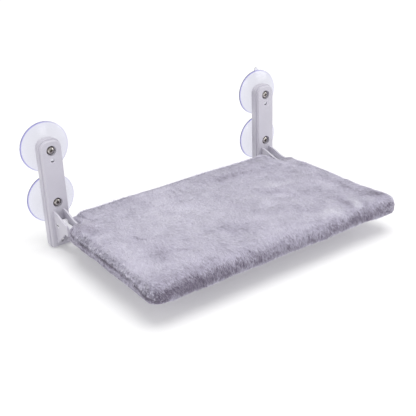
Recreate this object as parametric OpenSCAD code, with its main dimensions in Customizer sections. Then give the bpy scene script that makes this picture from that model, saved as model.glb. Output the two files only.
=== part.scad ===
// Window-mounted cat perch: two moulded brackets on four suction cups carry a padded, plush-covered bed
// on a bent tube frame. The bed folds up towards the window on the two bracket pivots.
// Millimetres. X runs along the window, -Y points into the room, Z is up. The window's surface is Y = 0,
// and the origin is the centre of the four suction cups.

/* [Layout] */
// Distance between the centre lines of the two brackets
bracket_spacing = 420; // [300:10:560]
// Free distance between the rims of a bracket's two suction cups
cup_gap = 6; // [5:0.5:24]
// Distance from the window to the front face of a bracket
face_stand = 26; // [24:0.5:32]

/* [Suction cups] */
// Diameter of a cup's rim
cup_d = 80; // [60:1:84]
// Height of a cup's dome above the window, without its neck
cup_dome_h = 8.5; // [7:0.5:9]
// Thickness of the cup's rim
cup_rim_t = 1.2; // [0.8:0.1:1.6]
// Thickness of the cup at its centre
cup_centre_t = 2.8; // [2:0.1:3.2]
// Width of the flat sealing band round the rim
cup_seal_w = 2; // [1:0.5:4]
// Diameter of the neck that stands in the bracket
cup_neck_d = 20; // [17:0.5:22]
// Diameter of the neck's wide foot on the dome
cup_foot_d = 28; // [24:1:30]
// Height of that foot's taper
cup_foot_h = 3; // [2:0.5:4]
// Width of the pull tab on the rim
tab_w = 7; // [5:1:12]
// How far the pull tab stands out of the rim
tab_reach = 5.5; // [3:0.5:8]

/* [Cup screws] */
// Diameter of the screw's shank
screw_d = 5; // [4:0.5:6]
// Diameter of the domed screw head
screw_head_d = 14; // [11:0.5:15]
// Height of the screw head's dome
screw_head_h = 3.4; // [2.5:0.1:4]
// Length of the shank under the head
screw_length = 12.5; // [8:0.5:13]
// Span of the cross recess in the head
screw_cross_w = 6.4; // [4:0.2:8]
// Width of each slot of the cross recess
screw_slot_w = 1.3; // [0.8:0.1:2]
// Depth of the cross recess
screw_cross_h = 1.8; // [1:0.1:2.2]
// Outer diameter of the threaded insert in a cup's neck
insert_d = 9; // [8.5:0.5:11]
// Length of the threaded insert
insert_length = 9; // [6:0.5:9.5]
// Width of the groove round the insert
insert_groove_w = 3; // [2:0.5:4]
// Depth of the groove round the insert
insert_groove_h = 0.8; // [0.4:0.1:1.2]

/* [Brackets] */
// Width of a bracket
bracket_w = 37; // [35:1:44]
// Depth of a bracket from its front face to its back edge
bracket_depth = 17; // [14:0.5:17.5]
// How far a bracket rises above its upper screw
bracket_above = 17; // [14:1:24]
// How far a bracket reaches below its lower screw
bracket_below = 76; // [72:1:90]
// Radius of the two top corners
bracket_top_r = 14; // [8:0.5:16]
// Radius of the two bottom corners
bracket_bottom_r = 5; // [4:0.5:9]
// Thickness of the moulded walls
bracket_wall = 2.4; // [2:0.1:3]
// Thickness of the front face
bracket_face_t = 3; // [2.4:0.2:4]
// Depth of the raised front panel
panel_depth = 6; // [4:0.5:8]
// Width of the ledge round the raised front panel
panel_ledge = 1.5; // [0.8:0.1:2]
// Size of the soft edge round the front face
face_edge = 1.6; // [0.8:0.1:2]
// Diameter of the recess round each screw head
recess_d = 16; // [15.5:0.5:18]
// Depth of the recess round each screw head
recess_depth = 3.6; // [3:0.2:5]
// Diameter of the boss behind each recess
boss_d = 20; // [19:0.5:24]
// Length of that boss from the front face
boss_length = 8; // [7:0.5:9]
// Thickness of the stiffening ribs inside
rib_t = 1.6; // [1.2:0.2:2.4]
// Height of the stiffening ribs inside
rib_h = 8; // [4:0.5:10]
// Number of cross ribs between the bosses
rib_count = 3; // [1:1:4]
// Diameter of the spare fixing holes
fixing_d = 6; // [4:0.5:6.5]
// Distance from the upper screw down to the upper fixing hole
upper_fixing_drop = 16; // [15:0.5:20]
// Distance from the lower screw down to the lower fixing hole
lower_fixing_drop = 66; // [62:1:68]
// Height of the small grip mark on the side wall
mark_h = 7; // [4:1:12]
// Depth of the grip mark along the wall
mark_w = 2.4; // [1.5:0.1:4]
// How far the grip mark stands out of the wall
mark_t = 0.7; // [0.4:0.1:1]

/* [Fold pivot] */
// Distance from the bracket's front face to the pivot
pivot_out = 10; // [9.5:0.5:13]
// Distance from the lower screw down to the pivot
pivot_drop = 34; // [32:1:40]
// Clear gap between a bracket's two ears
ear_gap = 13.8; // [13.6:0.2:16]
// Thickness of an ear
ear_t = 3; // [2.6:0.1:4]
// Height of an ear's top above the pivot, at the bracket's face
ear_face_rise = 21; // [16:1:24]
// Height of an ear's top above the pivot, at its tip
ear_tip_rise = 11.5; // [9:0.5:14]
// Radius of an ear's rounded tip about the pivot
ear_reach = 35; // [32:1:38]
// Depth of an ear's straight band below the pivot
band_drop = 5.6; // [5.5:0.1:6]
// Distance from the pivot to where the gusset leaves the band
gusset_toe = 23.5; // [20:0.5:26]
// Depth of the gusset's foot below the pivot
gusset_drop = 33.6; // [30:0.2:38]
// How far the gusset's foot stands out of the face
gusset_foot = 2; // [1:0.5:4]
// How far the gusset is recessed from the band
gusset_recess = 0.8; // [0.4:0.1:1.4]
// Thickness of the stop web that the frame rests on
stop_t = 3; // [2:0.5:3]
// Distance from the pivot to the stop web
stop_start = 8.5; // [8:0.5:11]
// Length of the stop web along the frame
stop_length = 9; // [6:0.5:9]
// Diameter of the pivot pin's shank
pin_d = 8; // [6:0.5:8]
// Diameter of the pivot pin's head, which fills the wide hole in one ear
pin_head_d = 10; // [9.5:0.5:10.5]
// How far the pin's head lies inside the ear
pin_sink = 0.8; // [0.4:0.1:1.4]
// Width of the slot in the pin's head
pin_slot_w = 1.6; // [1:0.1:2.4]
// Depth of that slot
pin_slot_h = 1.1; // [0.6:0.1:1.4]
// How far the pin stands out of the other ear
pin_tail = 2.4; // [2:0.1:3]
// Outer diameter of the retaining clip
clip_d = 13; // [12:0.5:14]
// Thickness of the retaining clip
clip_t = 0.8; // [0.6:0.1:1]
// Depth of the clip's groove in the pin
clip_groove = 0.8; // [0.5:0.1:1]
// Mouth of the retaining clip
clip_mouth = 5; // [4:0.5:6]

/* [Bed frame] */
// Outer diameter of the frame tube
tube_d = 12.7; // [11.5:0.1:12.8]
// Wall of the frame tube
tube_wall = 1; // [0.8:0.1:1.5]
// Radius of the frame's front bends, at the tube's centre
bend_r = 30; // [22:1:45]
// Outer diameter of the knuckle's barrel on the pivot
barrel_d = 15; // [14:0.5:16]
// Distance from the pivot to the end of the frame tube
tube_start = 10; // [9.5:0.5:12]
// Length of the knuckle's spigot inside the tube
spigot_length = 26; // [20:1:40]
// Distance from the pivot to the screw that holds the tube on its knuckle
knuckle_screw_out = 22; // [20:0.5:26]
// Diameter of that screw's shank
knuckle_screw_d = 3; // [2.5:0.5:3.5]
// Diameter of that screw's head
knuckle_head_d = 6; // [5:0.5:6.5]
// Height of that screw's head
knuckle_head_h = 1.6; // [1.2:0.1:2]
// Length of that screw under its head
knuckle_screw_length = 8; // [6:0.5:10]
// Distance from the pivot to the cross tube
cross_out = 50; // [46:1:90]

/* [Bed] */
// How far the bed reaches past each bracket's centre line
bed_overhang = 15; // [13:0.5:20]
// Distance from the brackets' front face to the bed's front edge
bed_depth = 298; // [220:2:340]
// Distance from the brackets' front face to the bed's back edge
bed_back = 14; // [12:0.5:20]
// Distance from the bed's front edge to the frame tube's centre
tube_inset = 12.5; // [11.5:0.5:14]
// Height of the bed's upper edge above the pivot
bed_rise = 16.4; // [15:0.2:18]
// Depth of the bed's underside below the pivot
bed_drop = 9.5; // [9.5:0.1:12]
// How much the middle of the bed is higher than its edge
crown_h = 1.6; // [0.5:0.1:4]
// Height of the sewn seam above the pivot
seam_rise = 5; // [2:0.5:7]
// Depth of the groove that the seam draws in
seam_groove = 1.4; // [0.5:0.1:2]
// Width of the rounding along the bed's upper edge
upper_roll = 10; // [8:0.5:16]
// Width of the rounding along the bed's lower edge
lower_roll = 6; // [4:0.5:10]
// Radius of the bed's front corners
bed_corner_r = 26; // [22:1:50]
// Radius of the bed's outer back corners, in front of the ears
ear_corner_r = 14; // [8:1:18]
// Radius of the inner corners of the room for the ears
ear_room_r = 4; // [2:0.5:6]
// Radius of the bed's back corners beside the brackets
back_corner_r = 6; // [3:0.5:10]
// How far the middle of each side is drawn in
draw_in = 1; // [0.4:0.1:1.5]
// Thickness of the plush cover
cover_t = 2.6; // [2:0.1:2.6]
// Clear radius that the bed leaves round the pivot for the ears
notch_reach = 36.5; // [36.5:0.5:42]
// How far the notch reaches inwards from the bracket's centre line
notch_inner = 20; // [19.5:0.5:26]

/* [Hidden] */
$fn = 64;

// Radial clearance of parts that fit together, and side clearance of the knuckle between its ears
fit_gap = 0.05;
side_gap = 0.3;
// Clearance of the soft parts, and of the frame above its stop
soft_gap = 0.3;
stop_gap = 0.1;
// How far a cut runs past the face that it opens, and how deep joined shapes run into each other
overrun = 1;
joined = 0.6;
// Clearance of a screw's shank in its hole
shank_gap = 0.2;

// Directions in which the left and the right pull tabs point, seen from the room: 90 is up
upper_tab_turn = [270, 92];
lower_tab_turn = [270, 270];

// Steps of the curves that are worked out point by point
curve_steps = 12;
front_corner_steps = 5;
ear_corner_steps = 4;
ear_room_steps = 3;
back_corner_steps = 2;
side_steps = 3;
top_steps = 5;
bottom_steps = 3;
// Places of the crown's rings, as shares of the way from the bed's edge to its middle
crown_shares = [0.1, 0.25, 0.5];
// Smallest radius of a corner of the bed's outline
least_r = 0.5;

cup_spacing = cup_d + cup_gap;
half_w = bracket_w / 2;
top_y = cup_spacing / 2 + bracket_above;
bottom_y = -cup_spacing / 2 - bracket_below;
back_z = face_stand - bracket_depth;
panel_z = face_stand - panel_depth;
edge_z = face_stand - face_edge;
boss_z = face_stand - boss_length;
recess_z = face_stand - recess_depth;
neck_z = boss_z - soft_gap;
insert_z = neck_z - insert_length;
pivot_y = face_stand + pivot_out;
pivot_z = -cup_spacing / 2 - pivot_drop;
ear_outer = ear_gap / 2 + ear_t;
tube_r = tube_d / 2;
tube_bore_r = tube_r - tube_wall;
knuckle_w = ear_gap - 2 * side_gap;
front_y = face_stand + bed_depth - tube_inset;
cross_y = pivot_y + cross_out;
tab_out = min(tab_reach, cup_gap - soft_gap);
clip_z = ear_outer + fit_gap;
bed_half_w = bracket_spacing / 2 + bed_overhang;

// Radius of the sphere whose cap has this half width and height
function cap_radius(half, rise) = (half * half + rise * rise) / (2 * rise);

// The two bracket assemblies are the same: each stands on its own centre line
module at_bracket(side) {
    translate([side * bracket_spacing / 2, 0, 0]) children();
}

// The bed's two halves mirror each other: local +X points to the bed's middle
module at_bed_side(side) {
    translate([side * bracket_spacing / 2, 0, 0]) mirror([side > 0 ? 1 : 0, 0, 0]) children();
}

// Local Z points out of the window into the room, and local Y is up
module out_of_window() {
    rotate([90, 0, 0]) children();
}

// The same, centred on a bracket's upper (1) or lower (-1) cup
module at_cup(side, level) {
    at_bracket(side) out_of_window() translate([0, level * cup_spacing / 2, 0]) children();
}

// Side view of the pivot: local X points into the room, local Y is up, local Z to the bracket's pin side
module at_pivot(side) {
    at_bracket(side) translate([0, -pivot_y, pivot_z]) rotate([90, 0, -90]) children();
}

// A slab with the bracket's outline whose sides draw in from one inset to another
module drafted_slab(z_from, z_to, inset_from, inset_to) {
    rise = z_to - z_from;
    wide_from = half_w - inset_from;
    wide_to = half_w - inset_to;
    for (side = [-1, 1]) {
        translate([side * (half_w - bracket_top_r), top_y - bracket_top_r, z_from])
            cylinder(h = rise, r1 = bracket_top_r - inset_from, r2 = bracket_top_r - inset_to);
        translate([side * (half_w - bracket_bottom_r), bottom_y + bracket_bottom_r, z_from])
            cylinder(h = rise, r1 = bracket_bottom_r - inset_from, r2 = bracket_bottom_r - inset_to);
    }
    translate([0, top_y - bracket_top_r, 0]) rotate([90, 0, 0])
        linear_extrude(top_y - bracket_top_r - bottom_y - bracket_bottom_r)
            polygon([[-wide_from, z_from], [wide_from, z_from], [wide_to, z_to], [-wide_to, z_to]]);
    slab_end(half_w - bracket_top_r, top_y, -1, z_from, z_to, inset_from, inset_to);
    slab_end(half_w - bracket_bottom_r, bottom_y, 1, z_from, z_to, inset_from, inset_to);
}

// The straight stretch at the slab's top or bottom end, between its two corners
module slab_end(half, end_y, inwards, z_from, z_to, inset_from, inset_to) {
    translate([-half, 0, 0]) rotate([90, 0, 90]) linear_extrude(2 * half)
        polygon([[0, z_from], [end_y + inwards * inset_from, z_from],
            [end_y + inwards * inset_to, z_to], [0, z_to]]);
}

// Outline of an ear's top edge, which sweeps down from the bracket's face to the tip
function ear_top() = [for (i = [0:curve_steps])
    let (x = -pivot_out + (ear_tip_x() + pivot_out) * i / curve_steps)
    [x, ear_tip_rise + (ear_face_rise - ear_tip_rise) * (1 + cos(180 * i / curve_steps)) / 2]];

function ear_tip_x() = sqrt(ear_reach * ear_reach - ear_tip_rise * ear_tip_rise);

// The round tip, about the pivot, from the top edge down to the band's lower edge
function ear_tip() = [for (i = [1:curve_steps])
    let (high = asin(ear_tip_rise / ear_reach))
    let (low = -asin(band_drop / ear_reach))
    let (a = high + (low - high) * i / curve_steps)
    [ear_reach * cos(a), ear_reach * sin(a)]];

module ear_band() {
    polygon(concat([[-pivot_out - joined, ear_face_rise]], ear_top(), ear_tip(),
        [[-pivot_out - joined, -band_drop]]));
}

module ear_gusset() {
    polygon([[-pivot_out - joined, 0], [gusset_toe, 0], [gusset_toe, -band_drop],
        [gusset_foot - pivot_out, -gusset_drop], [-pivot_out - joined, -gusset_drop]]);
}

// The two ears, their gussets and the stop web under the frame
module clevis() {
    for (side = [0, 1]) mirror([0, 0, side]) translate([0, 0, ear_gap / 2]) {
        linear_extrude(ear_t) ear_band();
        linear_extrude(ear_t - gusset_recess) ear_gusset();
    }
    translate([stop_start, -tube_r - stop_gap - stop_t, -ear_gap / 2 - joined])
        cube([stop_length, stop_t, ear_gap + 2 * joined]);
}

// The moulded cover of a bracket, open towards the window
module bracket_shell() {
    ledge_edge = panel_ledge + face_edge;
    difference() {
        union() {
            drafted_slab(back_z, panel_z, 0, 0);
            drafted_slab(panel_z - joined, edge_z, panel_ledge, panel_ledge);
            drafted_slab(edge_z, edge_z + face_edge * 0.6, panel_ledge, panel_ledge + face_edge * 0.25);
            drafted_slab(edge_z + face_edge * 0.6, face_stand, panel_ledge + face_edge * 0.25, ledge_edge);
        }
        drafted_slab(back_z - overrun, panel_z - bracket_face_t, bracket_wall, bracket_wall);
        drafted_slab(panel_z - bracket_face_t - joined, face_stand - bracket_face_t,
            bracket_wall + panel_ledge, bracket_wall + panel_ledge);
    }
}

// Stiffening ribs behind the front face: one down the middle and a ladder of cross ribs
module inner_ribs() {
    rib_z = face_stand - bracket_face_t - rib_h;
    inner_w = bracket_w - bracket_wall;
    length = top_y - bottom_y - bracket_wall;
    translate([-rib_t / 2, bottom_y + bracket_wall / 2, rib_z]) cube([rib_t, length, rib_h + joined]);
    for (i = [1:rib_count])
        translate([-inner_w / 2, cup_spacing * (i / (rib_count + 1) - 0.5) - rib_t / 2, rib_z])
            cube([inner_w, rib_t, rib_h + joined]);
    for (drop = [pivot_drop - ear_face_rise + rib_t, pivot_drop, pivot_drop + gusset_drop * 0.5])
        translate([-inner_w / 2, -cup_spacing / 2 - drop - rib_t / 2, rib_z])
            cube([inner_w, rib_t, rib_h + joined]);
}

module bracket(side) {
    color("#d4d0de") difference() {
        union() {
            at_bracket(side) out_of_window() {
                bracket_shell();
                inner_ribs();
                for (level = [-1, 1])
                    translate([0, level * cup_spacing / 2, boss_z])
                        cylinder(h = boss_length - joined, d = boss_d);
                translate([-half_w - mark_t, -cup_spacing / 2, back_z + bracket_wall])
                    cube([mark_t + joined, mark_h, mark_w]);
            }
            at_pivot(side) clevis();
        }
        for (level = [-1, 1]) at_cup(side, level) {
            translate([0, 0, recess_z]) cylinder(h = recess_depth + overrun, d = recess_d);
            translate([0, 0, boss_z - rib_h]) cylinder(h = rib_h, d = cup_foot_d);
            translate([0, 0, boss_z - overrun])
                cylinder(h = boss_length + 2 * overrun, d = screw_d + 2 * shank_gap);
        }
        at_bracket(side) out_of_window() {
            fixing_bore(cup_spacing / 2 - upper_fixing_drop);
            fixing_bore(-cup_spacing / 2 - lower_fixing_drop);
        }
        at_pivot(side) {
            cylinder(h = ear_outer + overrun, d = pin_head_d + 2 * fit_gap);
            translate([0, 0, -ear_outer - overrun])
                cylinder(h = ear_outer + 2 * overrun, d = pin_d + 2 * fit_gap);
        }
    }
}

// A spare fixing hole through the front face, with room behind it where the middle rib would pass
module fixing_bore(y) {
    translate([0, y, back_z]) cylinder(h = bracket_depth + overrun, d = fixing_d);
    translate([0, y, back_z]) cylinder(h = bracket_depth - bracket_face_t, d = fixing_d + 2 * rib_t);
}

// Half section of a cup: its domed back, its flat sealing band and the hollow between them
function cup_section() =
    let (rim_r = cup_d / 2)
    let (back_r = cap_radius(rim_r, cup_dome_h - cup_rim_t))
    let (seal_r = rim_r - cup_seal_w)
    let (hollow_top = cup_dome_h - cup_centre_t)
    let (hollow_r = cap_radius(seal_r, hollow_top))
    concat(
        [for (i = [0:curve_steps]) let (r = rim_r * i / curve_steps)
            [r, cup_dome_h - back_r + sqrt(back_r * back_r - r * r)]],
        [[rim_r, 0]],
        [for (i = [curve_steps:-1:0]) let (r = seal_r * i / curve_steps)
            [r, hollow_top - hollow_r + sqrt(hollow_r * hollow_r - r * r)]]);

// Flexible cup: a thin dome with a flat sealing band, a neck with a pocket for the insert, and a pull tab
module suction_cup(side, level, tab_turn) {
    tab_start = cup_d / 2 - cup_seal_w;
    tab_end = cup_d / 2 + tab_out - tab_w / 2;
    color([0.86, 0.88, 0.97, 0.6]) at_cup(side, level) difference() {
        union() {
            rotate_extrude() polygon(cup_section());
            translate([0, 0, cup_dome_h - joined])
                cylinder(h = neck_z - cup_dome_h + joined, d = cup_neck_d);
            translate([0, 0, cup_dome_h - joined])
                cylinder(h = cup_foot_h + joined, d1 = cup_foot_d, d2 = cup_neck_d);
            rotate([0, 0, tab_turn]) translate([tab_start, -tab_w / 2, 0])
                cube([tab_end - tab_start, tab_w, cup_rim_t]);
            rotate([0, 0, tab_turn]) translate([tab_end, 0, 0]) cylinder(h = cup_rim_t, d = tab_w);
        }
        translate([0, 0, insert_z - fit_gap])
            cylinder(h = insert_length + fit_gap + overrun, d = insert_d + 2 * fit_gap);
    }
}

// Threaded metal insert, with a groove that the moulded neck grips
module cup_insert(side, level) {
    groove_z = insert_z + (insert_length - insert_groove_w) / 2;
    color("#c9a552") at_cup(side, level) difference() {
        translate([0, 0, insert_z]) cylinder(h = insert_length, d = insert_d);
        translate([0, 0, groove_z]) difference() {
            cylinder(h = insert_groove_w, d = insert_d + 2 * overrun);
            translate([0, 0, -overrun])
                cylinder(h = insert_groove_w + 2 * overrun, d = insert_d - 2 * insert_groove_h);
        }
        translate([0, 0, insert_z - overrun])
            cylinder(h = insert_length + 2 * overrun, d = screw_d + 2 * fit_gap);
    }
}

// Domed machine screw with a cross recess
module cup_screw(side, level) {
    dome_r = cap_radius(screw_head_d / 2, screw_head_h);
    color("silver") at_cup(side, level) translate([0, 0, recess_z]) difference() {
        union() {
            intersection() {
                translate([0, 0, screw_head_h - dome_r]) sphere(r = dome_r);
                cylinder(h = screw_head_h, d = screw_head_d);
            }
            translate([0, 0, -screw_length]) cylinder(h = screw_length + joined, d = screw_d);
        }
        for (turn = [0, 90]) rotate([0, 0, turn])
            translate([-screw_cross_w / 2, -screw_slot_w / 2, screw_head_h - screw_cross_h])
                cube([screw_cross_w, screw_slot_w, screw_cross_h + overrun]);
    }
}

// Slotted pivot pin: its head fills the wide hole of one ear, its tail passes the other ear
module pivot_pin(side) {
    head_z = ear_outer - pin_sink;
    shank = head_z + ear_outer + pin_tail;
    color("whitesmoke") at_pivot(side) difference() {
        union() {
            translate([0, 0, ear_gap / 2]) cylinder(h = head_z - ear_gap / 2, d = pin_head_d);
            translate([0, 0, head_z - shank]) cylinder(h = shank, d = pin_d);
        }
        translate([-pin_head_d, -pin_slot_w / 2, head_z - pin_slot_h])
            cube([2 * pin_head_d, pin_slot_w, pin_slot_h + overrun]);
        translate([0, 0, -clip_z - clip_t - fit_gap]) difference() {
            cylinder(h = clip_t + 2 * fit_gap, d = pin_d + overrun);
            translate([0, 0, -overrun]) cylinder(h = clip_t + 2 * overrun, d = pin_d - 2 * clip_groove);
        }
    }
}

// Open spring clip in the pin's groove
module pin_clip(side) {
    color("silver") at_pivot(side) translate([0, 0, -clip_z - clip_t]) difference() {
        cylinder(h = clip_t, d = clip_d);
        translate([0, 0, -overrun])
            cylinder(h = clip_t + 2 * overrun, d = pin_d - 2 * clip_groove + 2 * fit_gap);
        translate([0, -clip_mouth / 2, -overrun]) cube([clip_d, clip_mouth, clip_t + 2 * overrun]);
    }
}

// Moulded knuckle: a barrel on the pivot, a round shoulder and a spigot inside the frame tube
module knuckle(side) {
    color("white") at_pivot(side) difference() {
        union() {
            cylinder(h = knuckle_w, d = barrel_d, center = true);
            rotate([0, 90, 0]) cylinder(h = tube_start - fit_gap, d = tube_d);
            rotate([0, 90, 0])
                cylinder(h = tube_start + spigot_length, r = tube_bore_r - fit_gap);
        }
        cylinder(h = knuckle_w + 2 * overrun, d = pin_d + 2 * fit_gap, center = true);
        translate([knuckle_screw_out, -tube_r, 0]) rotate([-90, 0, 0])
            cylinder(h = knuckle_screw_length + overrun, d = knuckle_screw_d + 2 * fit_gap);
    }
}

// Pan-head screw from below that holds the tube on its knuckle
module knuckle_screw(side) {
    dome_r = cap_radius(knuckle_head_d / 2, knuckle_head_h);
    color("silver") at_pivot(side) translate([knuckle_screw_out, -tube_r - fit_gap, 0]) rotate([90, 0, 0]) {
        difference() {
            intersection() {
                translate([0, 0, knuckle_head_h - dome_r]) sphere(r = dome_r);
                cylinder(h = knuckle_head_h, d = knuckle_head_d);
            }
            for (turn = [0, 90]) rotate([0, 0, turn])
                translate([-knuckle_head_d / 4, -pin_slot_h / 3, knuckle_head_h / 2])
                    cube([knuckle_head_d / 2, pin_slot_h / 1.5, knuckle_head_h]);
        }
        translate([0, 0, -knuckle_screw_length])
            cylinder(h = knuckle_screw_length + joined, d = knuckle_screw_d);
    }
}

// The frame's centre line as a solid of one radius, its ends run past the tube by a little for a bore
module frame_run(r, past) {
    run = front_y - bend_r - pivot_y - tube_start;
    for (side = [-1, 1]) at_bed_side(side) {
        translate([0, bend_r - front_y, pivot_z]) rotate([-90, 0, 0]) cylinder(h = run + past, r = r);
        translate([bend_r, bend_r - front_y, pivot_z]) rotate([0, 0, 180]) rotate_extrude(angle = 90)
            translate([bend_r, 0]) circle(r = r);
    }
    translate([bend_r - bracket_spacing / 2, -front_y, pivot_z]) rotate([0, 90, 0])
        cylinder(h = bracket_spacing - 2 * bend_r, r = r);
}

// Bent steel tube round the sides and front of the bed
module frame_tube() {
    color("lightgray") difference() {
        frame_run(tube_r, 0);
        frame_run(tube_bore_r, overrun);
        for (side = [-1, 1]) at_pivot(side) translate([knuckle_screw_out, -tube_r - overrun, 0])
            rotate([-90, 0, 0]) cylinder(h = tube_r, d = knuckle_screw_d + 2 * shank_gap);
    }
}

// Straight tube across the back of the frame, its ends coped to the side tubes
module cross_tube() {
    color("lightgray") difference() {
        translate([-bracket_spacing / 2, -cross_y, pivot_z]) rotate([0, 90, 0])
            cylinder(h = bracket_spacing, r = tube_r);
        translate([-bracket_spacing / 2 - overrun, -cross_y, pivot_z]) rotate([0, 90, 0])
            cylinder(h = bracket_spacing + 2 * overrun, r = tube_bore_r);
        for (side = [-1, 1]) translate([side * bracket_spacing / 2, -cross_y, pivot_z])
            rotate([90, 0, 0]) cylinder(h = 2 * tube_d, r = tube_r + fit_gap, center = true);
    }
}

// Points of an arc round a centre, from one angle to another
function arc_points(x, y, r, from, to, steps) =
    [for (i = [0:steps]) let (a = from + (to - from) * i / steps) [x + r * cos(a), y + r * sin(a)]];

// Right half of the bed's outline, from the middle of the front to the middle of the back, set inwards all round
function half_outline(inset) =
    let (side_x = bed_half_w - inset)
    let (room_x = bracket_spacing / 2 - notch_inner - inset)
    let (front = -bed_depth + inset)
    let (ears = -pivot_out - notch_reach - inset)
    let (back = -bed_back - inset)
    let (front_r = bed_corner_r - inset)
    let (ear_r = max(ear_corner_r - inset, least_r))
    let (room_r = ear_room_r + inset)
    let (back_r = max(back_corner_r - inset, least_r))
    let (side_from = front + front_r)
    let (side_to = ears - ear_r)
    concat(
        [for (share = [0, 0.5]) [share * (side_x - front_r), front + draw_in * cos(90 * share)]],
        arc_points(side_x - front_r, side_from, front_r, -90, 0, front_corner_steps),
        [for (i = [1:side_steps]) let (share = i / (side_steps + 1))
            [side_x - draw_in * sin(180 * share), side_from + share * (side_to - side_from)]],
        arc_points(side_x - ear_r, side_to, ear_r, 0, 90, ear_corner_steps),
        arc_points(room_x + room_r, ears + room_r, room_r, 270, 180, ear_room_steps),
        arc_points(room_x - back_r, back - back_r, back_r, 0, 90, back_corner_steps),
        [for (share = [0.5, 0]) [share * (room_x - back_r), back - draw_in * cos(90 * share)]]);

// The whole outline: the right half and its mirror image, which shares its first and last points
function bed_outline(inset) =
    let (half = half_outline(inset))
    concat(half, [for (i = [len(half) - 2:-1:1]) [-half[i][0], half[i][1]]]);

// Rings of the cushion from its underside to its crown: inset from the outline, height, and share shrunk to the middle
function cushion_rings(set_in, top, bottom, groove) = concat(
    [for (i = [bottom_steps:-1:1]) let (a = 90 * i / bottom_steps)
        [(lower_roll - set_in) * (1 - cos(a)), seam_rise - (seam_rise - bottom) * sin(a), 0]],
    [[groove, seam_rise, 0]],
    [for (i = [1:top_steps]) let (a = 90 * i / top_steps)
        [(upper_roll - set_in) * (1 - cos(a)), seam_rise + (top - seam_rise) * sin(a), 0]],
    [for (share = crown_shares) [upper_roll - set_in, top + crown_h * sin(180 * share), share]]);

// A cushion of the bed's outline, set inwards from it all round by an inset and from its top and bottom
module cushion(set_in, groove) {
    middle_y = -(bed_depth + bed_back) / 2;
    rings = cushion_rings(set_in, bed_rise - set_in, set_in - bed_drop, groove);
    n = len(bed_outline(0));
    last = len(rings) - 1;
    points = concat(
        [for (ring = rings) for (p = bed_outline(set_in + ring[0]))
            [p[0] * (1 - ring[2]), middle_y - face_stand + (p[1] - middle_y) * (1 - ring[2]), pivot_z + ring[1]]],
        [[0, middle_y - face_stand, pivot_z + rings[0][1]], [0, middle_y - face_stand, pivot_z + rings[last][1]]]);
    faces = concat(
        [for (k = [0:last - 1]) for (i = [0:n - 1]) let (j = (i + 1) % n) each
            [[k * n + i, (k + 1) * n + j, k * n + j], [k * n + i, (k + 1) * n + i, (k + 1) * n + j]]],
        [for (i = [0:n - 1]) [n * (last + 1), i, (i + 1) % n]],
        [for (i = [0:n - 1]) [n * (last + 1) + 1, last * n + (i + 1) % n, last * n + i]]);
    polyhedron(points = points, faces = faces, convexity = 6);
}

// Plan of the channels that hold the frame, in the bed's plane
module channel_plan(half) {
    for (side = [-1, 1]) mirror([side > 0 ? 1 : 0, 0]) translate([-bracket_spacing / 2, bend_r - front_y]) {
        translate([-half, 0]) square([2 * half, front_y - bend_r - pivot_y]);
        translate([bend_r, 0]) intersection() {
            difference() {
                circle(r = bend_r + half);
                circle(r = bend_r - half);
            }
            translate([-2 * bend_r, -2 * bend_r]) square(2 * bend_r);
        }
    }
    translate([bend_r - bracket_spacing / 2, -front_y - half])
        square([bracket_spacing - 2 * bend_r, 2 * half]);
    translate([-bracket_spacing / 2, -cross_y - half]) square([bracket_spacing, 2 * half]);
}

// Foam inside the cover, with square channels cut from below for the frame
module foam_pad() {
    color("#f3efe2") difference() {
        cushion(cover_t + soft_gap, 0);
        translate([0, 0, pivot_z - 2 * bed_drop]) linear_extrude(2 * bed_drop + tube_r + soft_gap)
            channel_plan(tube_r + soft_gap);
    }
}

// Sewn plush cover round the pad, with a seam along its sides and a hole for each side tube
module plush_cover() {
    color("#b4adc6") difference() {
        cushion(0, seam_groove);
        cushion(cover_t, 0);
        for (side = [-1, 1]) at_pivot(side) rotate([0, 90, 0])
            cylinder(h = notch_reach + ear_corner_r, r = tube_r + soft_gap);
    }
}

bracket(-1);  // left_bracket
bracket(1);  // right_bracket
suction_cup(-1, 1, upper_tab_turn[0]);  // left_upper_cup
suction_cup(-1, -1, lower_tab_turn[0]);  // left_lower_cup
suction_cup(1, 1, upper_tab_turn[1]);  // right_upper_cup
suction_cup(1, -1, lower_tab_turn[1]);  // right_lower_cup
cup_insert(-1, 1);  // left_upper_insert
cup_insert(-1, -1);  // left_lower_insert
cup_insert(1, 1);  // right_upper_insert
cup_insert(1, -1);  // right_lower_insert
cup_screw(-1, 1);  // left_upper_screw
cup_screw(-1, -1);  // left_lower_screw
cup_screw(1, 1);  // right_upper_screw
cup_screw(1, -1);  // right_lower_screw
pivot_pin(-1);  // left_pivot_pin
pivot_pin(1);  // right_pivot_pin
pin_clip(-1);  // left_pin_clip
pin_clip(1);  // right_pin_clip
knuckle(-1);  // left_knuckle
knuckle(1);  // right_knuckle
knuckle_screw(-1);  // left_knuckle_screw
knuckle_screw(1);  // right_knuckle_screw
frame_tube();
cross_tube();
foam_pad();
plush_cover();
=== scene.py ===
# %% [markdown]
# # A window mounted cat perch
# The perch hangs on a window by four suction cups. Two moulded brackets carry a bed on a bent tube, and the bed folds
# up against them. The load-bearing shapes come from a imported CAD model, and this script dresses that model: it gives
# every hard part its finish, and it replaces the plain solid of the bed by a sewn cushion with a coat of plush.
# All lengths are in metres. X runs along the window, -Y points into the room and Z is up.

# %% Load the CAD frame
import math

import bmesh
import bpy
import numpy as np
from mathutils import Matrix, Vector, noise
from mathutils.bvhtree import BVHTree


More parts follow.
